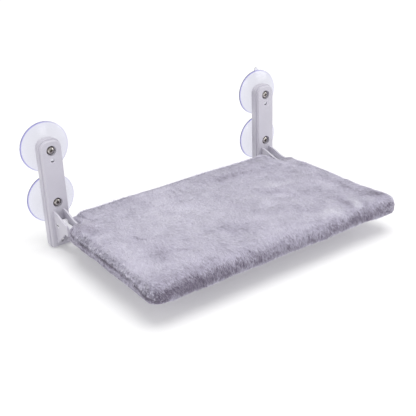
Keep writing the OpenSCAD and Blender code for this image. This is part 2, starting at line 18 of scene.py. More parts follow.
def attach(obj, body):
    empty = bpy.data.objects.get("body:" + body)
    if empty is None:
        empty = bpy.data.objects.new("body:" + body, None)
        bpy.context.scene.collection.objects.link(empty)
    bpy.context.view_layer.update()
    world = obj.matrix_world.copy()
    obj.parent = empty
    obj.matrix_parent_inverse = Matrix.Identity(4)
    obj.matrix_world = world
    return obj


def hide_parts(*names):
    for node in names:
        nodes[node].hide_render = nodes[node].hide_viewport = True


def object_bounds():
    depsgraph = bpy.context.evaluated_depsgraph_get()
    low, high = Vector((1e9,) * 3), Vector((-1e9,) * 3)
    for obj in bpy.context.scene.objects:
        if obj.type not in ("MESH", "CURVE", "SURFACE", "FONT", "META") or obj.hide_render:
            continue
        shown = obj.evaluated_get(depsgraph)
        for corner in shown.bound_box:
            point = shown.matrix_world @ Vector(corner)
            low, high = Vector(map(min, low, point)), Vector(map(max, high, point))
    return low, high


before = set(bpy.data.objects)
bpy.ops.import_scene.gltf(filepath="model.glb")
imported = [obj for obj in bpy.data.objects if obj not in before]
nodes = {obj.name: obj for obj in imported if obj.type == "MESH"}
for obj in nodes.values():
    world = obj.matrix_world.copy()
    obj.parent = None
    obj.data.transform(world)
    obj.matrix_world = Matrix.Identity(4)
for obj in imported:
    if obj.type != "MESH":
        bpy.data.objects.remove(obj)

cad_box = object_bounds()

# %% [markdown]
# ## Sizes that the dressing shares with the CAD model
# The script can't read the CAD source, so it repeats the few sizes that it needs: how far a bracket's middle and a
# cup's axis are from the origin, where the brackets' front faces are, and how high the bed's pivot is.

# %% Shared sizes
BRACKET_X = 0.210
CUP_Z = 0.043
FACE_Y = -0.026
PIVOT_Z = -0.077
SIDES = ("left", "right")
LEVELS = ("upper", "lower")


def new_object(name, data):
    made = bpy.data.objects.new(name, data)
    bpy.context.scene.collection.objects.link(made)
    return made


# %% [markdown]
# ## The camera
# A photograph's camera can be found again from points whose real places are known. Here those were the four screws,
# the rims of the four cups and the outline of the bed. The result is a place, three angles and a focal length, and
# the camera is built from them directly. A small roll stays in, because the photographer's camera had one.

# %% Camera
CAMERA_PLACE = Vector((-0.66486, -1.08386, 0.46955))
CAMERA_YAW, CAMERA_PITCH, CAMERA_ROLL = (math.radians(a) for a in (34.964, 25.258, -2.199))
CAMERA_LENS, CAMERA_SENSOR = 68.73, 36.0
CAMERA_CLIP = (0.05, 50.0)

forward = Vector((
    math.sin(CAMERA_YAW) * math.cos(CAMERA_PITCH),
    math.cos(CAMERA_YAW) * math.cos(CAMERA_PITCH),
    -math.sin(CAMERA_PITCH),
))
level_right = Vector((math.cos(CAMERA_YAW), -math.sin(CAMERA_YAW), 0.0))
level_up = level_right.cross(forward)
right = level_right * math.cos(CAMERA_ROLL) + level_up * math.sin(CAMERA_ROLL)
up = level_up * math.cos(CAMERA_ROLL) - level_right * math.sin(CAMERA_ROLL)
camera = new_object("camera", bpy.data.cameras.new("camera"))
camera.matrix_world = Matrix.Translation(CAMERA_PLACE) @ Matrix((right, up, -forward)).transposed().to_4x4()
camera.data.lens, camera.data.sensor_width = CAMERA_LENS, CAMERA_SENSOR
camera.data.clip_start, camera.data.clip_end = CAMERA_CLIP
bpy.context.scene.camera = camera
print("camera looks along", [round(v, 3) for v in forward])

# %% [markdown]
# ## Helpers for materials
# Every finish is a node tree built in code. All patterns are read from Object coordinates, which for these pieces are
# the frame's own metres, so that a pattern stays where it is when the bed folds.

# %% Material helpers
def set_inputs(node, values):
    for socket, value in values.items():
        node.inputs[socket].default_value = value


def link_inputs(tree, node, links):
    for socket, source in links.items():
        tree.links.new(source, node.inputs[socket])


def add(tree, kind, values=None, links=None, **settings):
    made = tree.nodes.new(kind)
    for name, value in settings.items():
        setattr(made, name, value)
    set_inputs(made, values or {})
    link_inputs(tree, made, links or {})
    return made


def start_material(name, color, roughness, more=None):
    made = bpy.data.materials.new(name)
    made.use_nodes = True
    shader = made.node_tree.nodes["Principled BSDF"]
    set_inputs(shader, {"Base Color": (*color, 1.0), "Roughness": roughness, **(more or {})})
    return made, made.node_tree, shader


def object_place(tree):
    return add(tree, "ShaderNodeTexCoord").outputs["Object"]


def pattern(tree, scale, detail, distortion=0.0):
    values = {"Scale": scale, "Detail": detail, "Distortion": distortion}
    return add(tree, "ShaderNodeTexNoise", values, {"Vector": object_place(tree)}).outputs["Fac"]


def bump(tree, height, strength, distance):
    made = add(tree, "ShaderNodeBump", {"Strength": strength, "Distance": distance}, {"Height": height})
    return made.outputs["Normal"]


def ramp(tree, source, stops):
    made = add(tree, "ShaderNodeValToRGB", links={"Fac": source})
    elements = made.color_ramp.elements
    while len(elements) < len(stops):
        elements.new(0.5)
    for element, (place, color) in zip(elements, stops):
        element.position = place
        element.color = (*color, 1.0)
    return made.outputs["Color"]


def calc(tree, operation, first, second=None):
    made = add(tree, "ShaderNodeMath", operation=operation)
    for index, value in enumerate((first, second)):
        if value is None:
            continue
        if isinstance(value, (int, float)):
            made.inputs[index].default_value = value
        else:
            tree.links.new(value, made.inputs[index])
    return made.outputs[0]


def spread(tree, source, low, high):
    made = add(tree, "ShaderNodeMapRange", {"To Min": low, "To Max": high}, {"Value": source})
    return made.outputs["Result"]


def give(node_name, material):
    for slot in nodes[node_name].material_slots:
        slot.material = material


# %% [markdown]
# ## The studio
# The photograph has a white ground with one soft grey shadow close under the bed. A white table that glows a little,
# as a product photographer's light table does, keeps that shadow pale. One very wide overhead light draws it, and
# because its rays are parallel, the table is equally bright everywhere. A small softbox in front gives the cups and
# screws their square highlights. A larger one on each side fills the brackets' side faces, and the right one throws
# the ears' soft shadows to the left. The rest is an even white sky.

# %% Studio
FLOOR_GAP = 0.0006
FLOOR_SIZE = 40.0
FLOOR_TONE, FLOOR_GLOW = 0.76, 0.21
SKY_LIGHT, WHITE = 0.58, (1.0, 1.0, 1.0, 1.0)
SUN_POWER, SUN_SPREAD = 1.75, 48.0
SUN_TILT = (4.0, 5.0, 0.0)
SOFTBOXES = (
    ("front_box", Vector((0.34, -1.42, 0.20)), 0.36, 1.0),
    ("right_box", Vector((1.05, -0.80, 0.30)), 0.50, 2.3),
    ("left_box", Vector((-1.15, -0.55, 0.30)), 0.60, 1.3),
)


def mesh_object(name, points, faces):
    mesh = bpy.data.meshes.new(name)
    mesh.from_pydata(points, [], faces)
    mesh.update()
    return new_object(name, mesh)


floor_z = cad_box[0].z - FLOOR_GAP
half = FLOOR_SIZE / 2
floor = mesh_object("studio_floor", [(-half, -half, floor_z), (half, -half, floor_z), (half, half, floor_z),
                                     (-half, half, floor_z)], [(0, 1, 2, 3)])
glow = {"Specular IOR Level": 0.0, "Emission Color": WHITE, "Emission Strength": FLOOR_GLOW}
light_table = start_material("light_table", (FLOOR_TONE,) * 3, 1.0, glow)[0]
floor.data.materials.append(light_table)

key = new_object("soft_key", bpy.data.lights.new("soft_key", "SUN"))
key.data.energy = SUN_POWER
key.data.angle = math.radians(SUN_SPREAD)
key.rotation_euler = [math.radians(a) for a in SUN_TILT]

for box_name, box_place, box_size, box_power in SOFTBOXES:
    softbox = new_object(box_name, bpy.data.lights.new(box_name, "AREA"))
    softbox.data.size = box_size
    softbox.data.energy = box_power
    softbox.location = box_place
    softbox.rotation_euler = box_place.to_track_quat("Z", "Y").to_euler()

world = bpy.data.worlds.new("even_sky")
world.use_nodes = True
set_inputs(world.node_tree.nodes["Background"], {"Color": WHITE, "Strength": SKY_LIGHT})
bpy.context.scene.world = world
bpy.context.scene.view_settings.view_transform = "Standard"
print("floor at", round(floor_z, 4))

# %% [markdown]
# ## Moulded brackets
# The brackets are injection-moulded plastic, off-white with a touch of lavender. Such a surface is satin, with a very
# fine spark-eroded grain. A noise with a grain of four tenths of a millimetre bends the normals, a wide one shifts
# the tone by a few hundredths, and a middle one changes the gloss where the mould was polished more. The pivot pins
# have a screwdriver's slot in one end, and painted shade darkens the slot's walls and floor.

# %% Bracket plastic
PLASTIC_NOISES = ((2600.0, 2.0), (22.0, 3.0), (140.0, 4.0))


def moulded_plastic(name, color, roughness, grain=0.00006):
    made, tree, shader = start_material(name, color, roughness, {"Specular IOR Level": 0.45})
    fine, wide, middle = (pattern(tree, *values) for values in PLASTIC_NOISES)
    darker = tuple(c * 0.955 for c in color)
    lighter = tuple(min(1.0, c * 1.03) for c in color)
    link_inputs(tree, shader, {"Base Color": ramp(tree, wide, [(0.3, darker), (0.7, lighter)]),
                               "Roughness": spread(tree, middle, roughness - 0.09, roughness + 0.09),
                               "Normal": bump(tree, fine, 0.45, grain)})
    return made


def signed_as(tree, value, size):
    return calc(tree, "MULTIPLY", calc(tree, "SIGN", value), size)


def beside_bracket(tree):
    """Offset along X from the middle plane of the nearest bracket."""
    across = add(tree, "ShaderNodeSeparateXYZ", links={"Vector": object_place(tree)}).outputs["X"]
    return calc(tree, "SUBTRACT", across, signed_as(tree, across, BRACKET_X))


SHADED_SLOT_MIDDLE, SHADED_SLOT_HALF = -0.00846, 0.00056
bracket_plastic = moulded_plastic("bracket_plastic_satin", (0.61, 0.592, 0.662), 0.42)
white_plastic = moulded_plastic("white_pivot_plastic", (0.90, 0.895, 0.93), 0.34)
pin_plastic = moulded_plastic("slotted_pin_plastic_painted_slot_shade", (0.80, 0.79, 0.84), 0.40)
tree, shader = pin_plastic.node_tree, pin_plastic.node_tree.nodes["Principled BSDF"]
# Painted shade: the slot's walls and floor, picked by their distance from the bracket's middle plane, are painted near
# black.
slot_shade_mask = add(tree, "ShaderNodeMath", {1: SHADED_SLOT_MIDDLE, 2: SHADED_SLOT_HALF}, {0: beside_bracket(tree)}, operation="COMPARE")
shade = ramp(tree, slot_shade_mask.outputs[0], [(0.0, (1.0, 1.0, 1.0)), (1.0, (0.05, 0.045, 0.06))])
shaded = add(tree, "ShaderNodeMix", {0: 1.0}, {6: shader.inputs["Base Color"].links[0].from_socket, 7: shade},
             data_type="RGBA", blend_type="MULTIPLY")
tree.links.new(shaded.outputs[2], shader.inputs["Base Color"])
for side in SIDES:
    give(f"{side}_bracket", bracket_plastic)
    give(f"{side}_pivot_pin", pin_plastic)
    give(f"{side}_knuckle", white_plastic)
print("plastics:", bracket_plastic.name, white_plastic.name, pin_plastic.name)

# %% [markdown]
# ## Suction cups
# The cups are clear soft PVC. Light that enters the face leaves it almost untouched, but light that runs inside to
# the rim comes out blue-violet, because it has passed through far more of the plastic. The material paints that light
# into the colour: it measures from the axis of the nearest cup, so that the four cups share it, and tints the last
# millimetres of radius. The painted violet line is strong on the side facing left and up, almost gone on the other.

# %% Clear cup material
def from_cup_axis(tree):
    """Offsets across and up from the axis of the nearest suction cup, and the distance from it."""
    height = add(tree, "ShaderNodeSeparateXYZ", links={"Vector": object_place(tree)}).outputs["Z"]
    across = beside_bracket(tree)
    rise = calc(tree, "SUBTRACT", height, signed_as(tree, height, CUP_Z))
    squares = calc(tree, "ADD", calc(tree, "MULTIPLY", across, across), calc(tree, "MULTIPLY", rise, rise))
    return across, rise, calc(tree, "SQRT", squares)


CUP_TAB_R = 0.042
CUP_BODY = [(0.0, (0.68, 0.675, 0.74)), (0.67, (0.72, 0.72, 0.79)), (0.895, (0.74, 0.74, 0.83))]
CUP_TAB = [(0.960, (0.74, 0.74, 0.83))]
clear_cup, tree, shader = start_material("clear_soft_pvc", (0.72, 0.72, 0.79), 0.07,
                                         {"Transmission Weight": 1.0, "IOR": 1.33})
across, rise, radius = from_cup_axis(tree)
share = calc(tree, "DIVIDE", radius, CUP_TAB_R)
# Painted light: the last millimetres of radius are tinted as light run through the rim.
pale_painted_rim_light = ramp(tree, share, [*CUP_BODY, (0.930, (0.66, 0.655, 0.80)), (0.950, (0.62, 0.61, 0.78)), *CUP_TAB])
violet_painted_rim_light = ramp(tree, share, [*CUP_BODY, (0.914, (0.42, 0.41, 0.73)), (0.950, (0.27, 0.26, 0.63)), *CUP_TAB])
# Painted light: the violet rim is painted strongest on the side that faces left and up.
facing = calc(tree, "ADD", calc(tree, "MULTIPLY", across, -0.90), calc(tree, "MULTIPLY", rise, 0.45))
facing = calc(tree, "DIVIDE", facing, radius)
facing = add(tree, "ShaderNodeMapRange", {"From Min": -0.25, "From Max": 0.75}, {"Value": facing},
             interpolation_type="SMOOTHSTEP")
painted_rim_light_tint = add(tree, "ShaderNodeMix", links={0: facing.outputs["Result"], 6: pale_painted_rim_light, 7: violet_painted_rim_light}, data_type="RGBA")
link_inputs(tree, shader, {"Base Color": painted_rim_light_tint.outputs[2],
                           "Roughness": spread(tree, pattern(tree, 55.0, 3.0), 0.05, 0.16),
                           "Normal": bump(tree, pattern(tree, 90.0, 2.0), 0.25, 0.0006)})
for side in SIDES:
    for level in LEVELS:
        give(f"{side}_{level}_cup", clear_cup)
print("cups share", clear_cup.name)

# %% [markdown]
# ## Screws, inserts and clips
# The screw heads are bright nickel over steel. What makes a small bright screw read as metal is contrast, and here it
# is painted shade: a dark cross in the middle and a dark ring where the dome dips into its recess, with the bright
# cap between them. The radius from the screw's axis gives the ring, and a fine noise gives the brushed, slightly
# smeared look of plating.

# %% Metal materials
METALLIC = {"Metallic": 1.0}


def metal(name, dark, bright, roughness, scale):
    made, tree, shader = start_material(name, bright, roughness, METALLIC)
    smear = pattern(tree, scale, 4.0, 0.6)
    link_inputs(tree, shader, {"Base Color": ramp(tree, smear, [(0.32, dark), (0.62, bright)]),
                               "Roughness": spread(tree, smear, roughness + 0.12, roughness - 0.06),
                               "Normal": bump(tree, smear, 0.2, 0.00008)})
    return made


SCREW_HEAD_R = 0.007
screw_metal_with_painted_shade, tree, shader = start_material("nickel_screw_painted_recess_shade", (0.6, 0.57, 0.54), 0.24, METALLIC)
share = calc(tree, "DIVIDE", from_cup_axis(tree)[2], SCREW_HEAD_R)
smear = pattern(tree, 420.0, 3.0, 0.8)
mixed = calc(tree, "ADD", share, calc(tree, "MULTIPLY", calc(tree, "SUBTRACT", smear, 0.5), 0.7))
# Painted shade: dark in the middle and in the outer ring, the bright nickel cap between them.
tone = ramp(tree, mixed, [(0.0, (0.05, 0.045, 0.04)), (0.32, (0.20, 0.18, 0.17)), (0.50, (0.66, 0.63, 0.61)),
                          (0.70, (0.36, 0.33, 0.315)), (0.90, (0.11, 0.095, 0.09))])
link_inputs(tree, shader, {"Base Color": tone, "Roughness": spread(tree, smear, 0.30, 0.16)})

brass = metal("insert_brass", (0.50, 0.36, 0.16), (0.80, 0.63, 0.32), 0.30, 500.0)
clip_steel = metal("clip_spring_steel", (0.30, 0.30, 0.31), (0.60, 0.60, 0.62), 0.30, 700.0)
tube_coat = moulded_plastic("frame_tube_powder_coat", (0.80, 0.80, 0.83), 0.38, 0.00010)
for side in SIDES:
    for level in LEVELS:
        give(f"{side}_{level}_insert", brass)
        give(f"{side}_{level}_screw", screw_metal_with_painted_shade)
    give(f"{side}_pin_clip", clip_steel)
    give(f"{side}_knuckle_screw", clip_steel)
give("frame_tube", tube_coat)
give("cross_tube", tube_coat)

# %% [markdown]
# ## Foam
# The pad inside is cut polyurethane foam. It hides under the cover, but the exploded model shows it, so it gets open
# cells: a Voronoi pattern with cells under a millimetre, which pits the surface, and painted shade darkens the pits.

# %% Foam material
foam, tree, shader = start_material("cut_foam", (0.90, 0.86, 0.74), 0.92)
cells = add(tree, "ShaderNodeTexVoronoi", {"Scale": 1300.0}, {"Vector": object_place(tree)}).outputs["Distance"]
# Painted shade: the pits of the cells are painted darker.
link_inputs(tree, shader, {"Base Color": ramp(tree, cells, [(0.0, (0.62, 0.57, 0.44)), (0.45, (0.92, 0.88, 0.77))]),
                           "Normal": bump(tree, cells, 0.6, 0.0004)})
give("foam_pad", foam)

# %% [markdown]
# ## The sewn cushion: its cut shape
# The bed's cover is a flat bag of plush round foam. Its plan is a rectangle with round front corners, and at the two
# back corners it makes room for the ears of the brackets. A stack of outlines, each drawn in by its own amount, gives
# the rolled edges. Fixed point counts give every outline the same number of points, so that the stack joins up into
# one closed mesh.

# %% Cushion outline
HALF_W = 0.2264
BACK_U, FRONT_U = 0.0112, 0.2990
FRONT_R = 0.0190
MOUTH_IN = 0.0120
MOUTH_U = 0.0482
EAR_CORNER_R = 0.0165
MOUTH_CORNER_R, MOUTH_FILLET_R = 0.006, 0.003
LEAST_R = 0.0006
TOP_Z, BOTTOM_Z = 0.0187, -0.0100
ARC_POINTS = 10
EDGE_POINTS = (44, 8, 3, 48, 40)


def fillet(before, corner, after, radius):
    """Points of the arc that rounds a corner between two straight edges."""
    a = (before - corner).normalized()
    b = (after - corner).normalized()
    half_angle = a.angle(b) / 2
    reach = radius / math.tan(half_angle)
    centre = corner + (a + b).normalized() * (radius / math.sin(half_angle))
    start, end = corner + a * reach - centre, corner + b * reach - centre
    total = start.angle(end)
    turn = 1.0 if start.cross(end) > 0 else -1.0
    return [centre + Matrix.Rotation(turn * total * i / (ARC_POINTS - 1), 2) @ start for i in range(ARC_POINTS)]


def straight(start, end, count):
    return [start.lerp(end, (i + 1) / (count + 1)) for i in range(count)]


def bed_outline(inset):
    """Closed outline in the bed's plan, x and distance u from the brackets' faces, drawn in by inset."""
    side_x = HALF_W - inset
    inner_x = BRACKET_X - MOUTH_IN - inset
    back, front = BACK_U + inset, FRONT_U - inset
    mouth = MOUTH_U + inset
    corners = [((0.0, back), None), ((inner_x, back), max(MOUTH_CORNER_R - inset, LEAST_R)),
               ((inner_x, mouth), MOUTH_FILLET_R + inset), ((side_x, mouth), max(EAR_CORNER_R - inset, LEAST_R)),
               ((side_x, front), FRONT_R - inset), ((0.0, front), None)]
    points = [Vector(p) for p, _ in corners]
    half_path, last = [points[0]], points[0]
    for index in range(1, 5):
        arc = fillet(points[index - 1], points[index], points[index + 1], corners[index][1])
        half_path += straight(last, arc[0], EDGE_POINTS[index - 1]) + arc
        last = arc[-1]
    half_path += straight(last, points[5], EDGE_POINTS[4]) + [points[5]]
    mirrored = [Vector((-p.x, p.y)) for p in reversed(half_path[1:-1])]
    return half_path + mirrored


print("outline points:", len(bed_outline(0.0)))

# %% [markdown]
# The profile of the side is not a plain half circle: the top edge is a soft roll, the lower edge a tighter one. The
# list gives, from the underside up, how far each outline is drawn in and its height over the pivot.

# %% Cushion block
SIDE_PROFILE = (
    (0.0150, BOTTOM_Z), (0.0068, BOTTOM_Z + 0.0002), (0.0030, BOTTOM_Z + 0.0014), (0.0011, BOTTOM_Z + 0.0038),
    (0.0002, BOTTOM_Z + 0.0068), (0.0000, 0.0015), (0.0002, 0.0048), (0.0009, 0.0080), (0.0022, 0.0110),
    (0.0042, 0.0134), (0.0070, 0.0152), (0.0105, TOP_Z - 0.0004), (0.0150, TOP_Z),
)
CROWN = ((0.10, 0.0004), (0.25, 0.0009), (0.45, 0.0013), (0.70, 0.0016), (0.90, 0.0016))


def bed_point(x, u, height):
    return (x, FACE_Y - u, PIVOT_Z + height)


def shrunk_ring(inset, share_in, height):
    """An outline at one height, shrunk towards the bed's middle."""
    middle = (BACK_U + FRONT_U) / 2
    return [bed_point(p.x * (1 - share_in), middle + (p.y - middle) * (1 - share_in), height)
            for p in bed_outline(inset)]


def cushion_block():
    rings = [[bed_point(p.x, p.y, height) for p in bed_outline(inset)] for inset, height in SIDE_PROFILE]
    rings += [shrunk_ring(SIDE_PROFILE[-1][0], share_in, TOP_Z + rise) for share_in, rise in CROWN]
    for share_in, _ in CROWN:
        rings.insert(0, shrunk_ring(SIDE_PROFILE[0][0], share_in, BOTTOM_Z))
    count = len(rings[0])
    points = [p for ring in rings for p in ring]
    faces = [(k * count + i, k * count + (i + 1) % count, (k + 1) * count + (i + 1) % count, (k + 1) * count + i)
             for k in range(len(rings) - 1) for i in range(count)]
    faces.append(tuple(reversed(range(count))))
    faces.append(tuple((len(rings) - 1) * count + i for i in range(count)))
    block = mesh_object("cushion_block", points, faces)
    bm = bmesh.new()
    bm.from_mesh(block.data)
    bmesh.ops.recalc_face_normals(bm, faces=bm.faces)
    bm.to_mesh(block.data)
    bm.free()
    return block


cushion = cushion_block()
print("cushion block faces:", len(cushion.data.polygons))

# %% [markdown]
# ## Even cells, then inflation
# Cloth needs cells of one size. The voxel remesher cuts the block into cells of four millimetres. Then a cloth
# simulation blows the bag up, as foam that is slightly too big for its cover does: the flat parts rise, and the
# edges pull in between the corners. Left free it would become a pillow, so the way that a point moves is capped, and
# the cap is lowest beside the ears.

# %% Remesh and inflate
VOXEL = 0.004
INFLATE_CAP = 0.0016
EAR_CAP = 0.0003
EAR_X, EAR_U, EAR_FADE = 0.014, 0.050, 0.016
SIM_FRAMES = 20
CLOTH = {"quality": 5, "mass": 0.25, "tension_stiffness": 15, "compression_stiffness": 15, "bending_stiffness": 0.3,
         "use_pressure": True, "uniform_pressure_force": 4.0}


def apply_modifiers(thing):
    """The object's evaluated mesh takes the place of its mesh, and its modifiers go."""
    graph = bpy.context.evaluated_depsgraph_get()
    mesh = bpy.data.meshes.new_from_object(thing.evaluated_get(graph), depsgraph=graph)
    old = thing.data
    thing.modifiers.clear()
    thing.data = mesh
    bpy.data.meshes.remove(old)


def read_vectors(items, name, kind=np.float32):
    flat = np.empty(len(items) * 3, kind)
    items.foreach_get(name, flat)
    return flat.reshape(-1, 3)


def coordinates(mesh):
    return read_vectors(mesh.vertices, "co", np.float64)


def set_coordinates(mesh, places):
    mesh.vertices.foreach_set("co", places.astype(np.float32).ravel())
    mesh.update()


def vertex_normals(mesh):
    return read_vectors(mesh.vertex_normals, "vector").astype(np.float64)


def from_bracket(places):
    """How far points are towards the middle of the bed from a bracket's middle plane, and how far out in front."""
    return BRACKET_X - np.abs(places[:, 0]), FACE_Y - places[:, 1]


def beside_ears(places):
    """1 next to a bracket's ears and fading to 0 further away."""
    inwards, out = from_bracket(places)
    return np.clip(1 - (inwards - EAR_X) / EAR_FADE, 0, 1) * np.clip(1 - (out - EAR_U) / EAR_FADE, 0, 1)


def inflate(bag):
    rest = coordinates(bag.data)
    cloth = bag.modifiers.new("bag", "CLOTH")
    for name, value in CLOTH.items():
        setattr(cloth.settings, name, value)
    cloth.settings.effector_weights.gravity = 0.0
    cloth.collision_settings.use_collision = False
    cloth.point_cache.frame_start, cloth.point_cache.frame_end = 1, SIM_FRAMES
    for number in range(1, SIM_FRAMES + 1):
        bpy.context.scene.frame_set(number)
    graph = bpy.context.evaluated_depsgraph_get()
    blown = bag.evaluated_get(graph).to_mesh()
    moved = coordinates(blown) - rest
    bag.evaluated_get(graph).to_mesh_clear()
    bag.modifiers.clear()
    length = np.linalg.norm(moved, axis=1)
    cap = INFLATE_CAP + (EAR_CAP - INFLATE_CAP) * beside_ears(rest)
    scale = cap * np.tanh(length / cap) / np.maximum(length, 1e-9)
    set_coordinates(bag.data, rest + moved * scale[:, None])
    bpy.context.scene.frame_set(1)
    return length


remesh = cushion.modifiers.new("cells", "REMESH")
remesh.mode = "VOXEL"
remesh.voxel_size = VOXEL
apply_modifiers(cushion)
reach = inflate(cushion)
print("cloth moved up to", round(float(reach.max()) * 1000, 1), "mm before the cap")
finer = cushion.modifiers.new("finer", "SUBSURF")
finer.levels = finer.render_levels = 1
apply_modifiers(cushion)
print("cushion cells:", len(cushion.data.polygons))

# %% [markdown]
# ## The sewn seam and the lip under it
# Remeshing removes every line narrower than a cell, so the seam comes after it, by moving points. Its path was
# measured on the photograph: it runs along each side a little above the middle, dips towards the front corner, and
# at the back climbs over the corner and ends on the top, close to the ear. Points near it sink along their normals.
# On its lower side a narrow hem bulges out again, and on its upper side the plush swells over it.

# %% Seam path
SEAM_SIDE = (
    (0.1960, 0.0560, 0.0178), (0.2010, 0.0582, 0.0176), (0.2059, 0.0596, 0.0172), (0.2112, 0.0606, 0.0166),
    (0.2165, 0.0620, 0.0154), (0.2206, 0.0636, 0.0136), (0.2240, 0.0656, 0.0112), (0.2256, 0.0686, 0.0092),
    (0.2262, 0.0760, 0.0072), (0.2264, 0.0914, 0.0066), (0.2264, 0.1172, 0.0068), (0.2260, 0.1589, 0.0082),
    (0.2260, 0.2130, 0.0088), (0.2264, 0.2520, 0.0070), (0.2264, 0.2750, 0.0038),
)
SEAM_FRONT_Z = 0.0000
SEAM_FRONT_FADE, SEAM_MIDDLE_FADE, SEAM_EAR_FADE = (0.270, 0.285), (0.172, 0.196), (0.1975, 0.2060)
SEAM_STEP, SEAM_SOFTEN = 0.0012, 9
CORNER_STEPS, DIP_STEPS = 12, 7
BATCH = 4000
GROOVE_DEPTH, GROOVE_WIDTH = 0.0030, 0.0010
LIP_RISE, LIP_PLACE, LIP_WIDTH = 0.0018, 0.0038, 0.0022
SWELL_RISE, SWELL_PLACE, SWELL_WIDTH = 0.0014, 0.0034, 0.0026
SEAM_BANDS = (0.0075, 0.0032)


def seam_points():
    """Evenly spaced points of the seam on the +X half, each with the direction that points to the hem."""
    path = list(SEAM_SIDE)
    for i in range(1, CORNER_STEPS + 1):
        turn = math.radians(90) * i / CORNER_STEPS
        fall = SEAM_SIDE[-1][2] + (SEAM_FRONT_Z - SEAM_SIDE[-1][2]) * min(1.0, i / DIP_STEPS)
        path.append((HALF_W - FRONT_R + FRONT_R * math.cos(turn), FRONT_U - FRONT_R + FRONT_R * math.sin(turn), fall))
    path.append((0.0, FRONT_U, SEAM_FRONT_Z))
    path = np.array(path)
    along = np.concatenate([[0], np.cumsum(np.linalg.norm(np.diff(path, axis=0), axis=1))])
    stations = np.arange(0, along[-1], SEAM_STEP)
    fine = np.stack([np.interp(stations, along, path[:, k]) for k in range(3)], axis=1)
    kernel = np.hanning(SEAM_SOFTEN) / np.hanning(SEAM_SOFTEN).sum()
    padded = np.pad(fine, ((SEAM_SOFTEN // 2,) * 2, (0, 0)), "edge")
    fine = np.stack([np.convolve(padded[:, k], kernel, "valid") for k in range(3)], axis=1)
    tangent = np.gradient(fine, axis=0)
    outward = np.stack([tangent[:, 1], -tangent[:, 0]], axis=1)
    outward /= np.maximum(np.linalg.norm(outward, axis=1), 1e-9)[:, None]
    hem = np.stack([outward[:, 0], outward[:, 1], -np.ones(len(fine))], axis=1)
    return fine, hem / np.linalg.norm(hem, axis=1)[:, None]


def near_seam(places):
    """Signed distance of each point from the seam, positive on the hem's side."""
    line, hem = seam_points()
    local = np.stack([np.abs(places[:, 0]), FACE_Y - places[:, 1], places[:, 2] - PIVOT_Z], axis=1)
    signed = np.full(len(places), 1.0)
    for start in range(0, len(places), BATCH):
        part = local[start:start + BATCH]
        gap = part[:, None, :] - line[None, :, :]
        squares = (gap ** 2).sum(axis=2)
        best = squares.argmin(axis=1)
        rows = np.arange(len(part))
        side_of = (gap[rows, best] * hem[best]).sum(axis=1)
        signed[start:start + BATCH] = np.sqrt(squares[rows, best]) * np.where(side_of > 0, 1.0, -1.0)
    return signed


def bell(values, middle, width):
    return np.exp(-((values - middle) / width) ** 2)


def smooth(values, low, high):
    part = np.clip((values - low) / (high - low), 0, 1)
    return part * part * (3 - 2 * part)


def seam_share(places):
    """1 where the seam shows, along the sides, and 0 at the ears and along the front, where the pile hides it."""
    out, wide = FACE_Y - places[:, 1], np.abs(places[:, 0])
    front = smooth(out, *SEAM_FRONT_FADE) * (1 - smooth(wide, *SEAM_MIDDLE_FADE))
    return (1 - front) * smooth(wide, *SEAM_EAR_FADE)


print("seam points on one half:", len(seam_points()[0]))

# %% [markdown]
# ## Sculpt the cover
# Four moves make the cover look sewn and used: the seam with its lip and swell, slow hollows of six centimetres where
# the plush has been sat on, small puckers of one and a half centimetres, and curls of half a centimetre above the
# seam. The puckers are strong at the edges, where the fabric is gathered round the foam, and weak on the flat top.
# Close to the brackets the top is pressed down to a slope, so that it clears their faces when the bed is folded up.
# The right side is fuller than the left one, most of all at its front corner, and is pulled out a few millimetres.

# %% Finer cells along the seam
def refine_seam(thing, band):
    """Halves the cells nearer to the seam than the band, so that a groove of two millimetres has room."""
    near = np.abs(near_seam(coordinates(thing.data))) < band
    bm = bmesh.new()
    bm.from_mesh(thing.data)
    bm.verts.ensure_lookup_table()
    chosen = [edge for edge in bm.edges if near[edge.verts[0].index] and near[edge.verts[1].index]]
    bmesh.ops.subdivide_edges(bm, edges=chosen, cuts=1, use_grid_fill=True)
    bmesh.ops.triangulate(bm, faces=[face for face in bm.faces if len(face.verts) > 4])
    bm.to_mesh(thing.data)
    bm.free()
    return len(chosen)


print("edges split along the seam:", [refine_seam(cushion, band) for band in SEAM_BANDS])

# %% Sculpt
HOLLOW_DEPTH, HOLLOW_SIZE = 0.0008, 0.060
PUCKER_TOP, PUCKER_EDGE, PUCKER_SIZE = 0.0003, 0.0009, 0.016
CURL_RISE, CURL_SIZE, CURL_PLACE, CURL_WIDTH = 0.0012, 0.0050, 0.0095, 0.0065
PRESSED_Z, PRESSED_SLOPE, PRESSED_FROM = 0.0086, 0.176, 0.010
PRESSED_IN_FADE, PRESSED_OUT_FADE = (0.0205, 0.0255), (0.052, 0.084)
SIDE_PULL, SIDE_X, SIDE_OUT = (0.0025, 0.0, 0.0004), (0.180, 0.226), (0.060, 0.120)
CORNER_PULL, CORNER_X, CORNER_OUT = (0.0078, -0.0012, 0.0004), (0.170, 0.228), (0.215, 0.300)
CORNER_SAG, CORNER_SAG_BELOW = 0.0032, (-0.008, 0.008)


def noise_at(places, size, seed):
    shift = Vector((seed * 7.13, seed * 3.71, seed * 5.37))
    return np.array([noise.noise(Vector(p) / size + shift) for p in places])


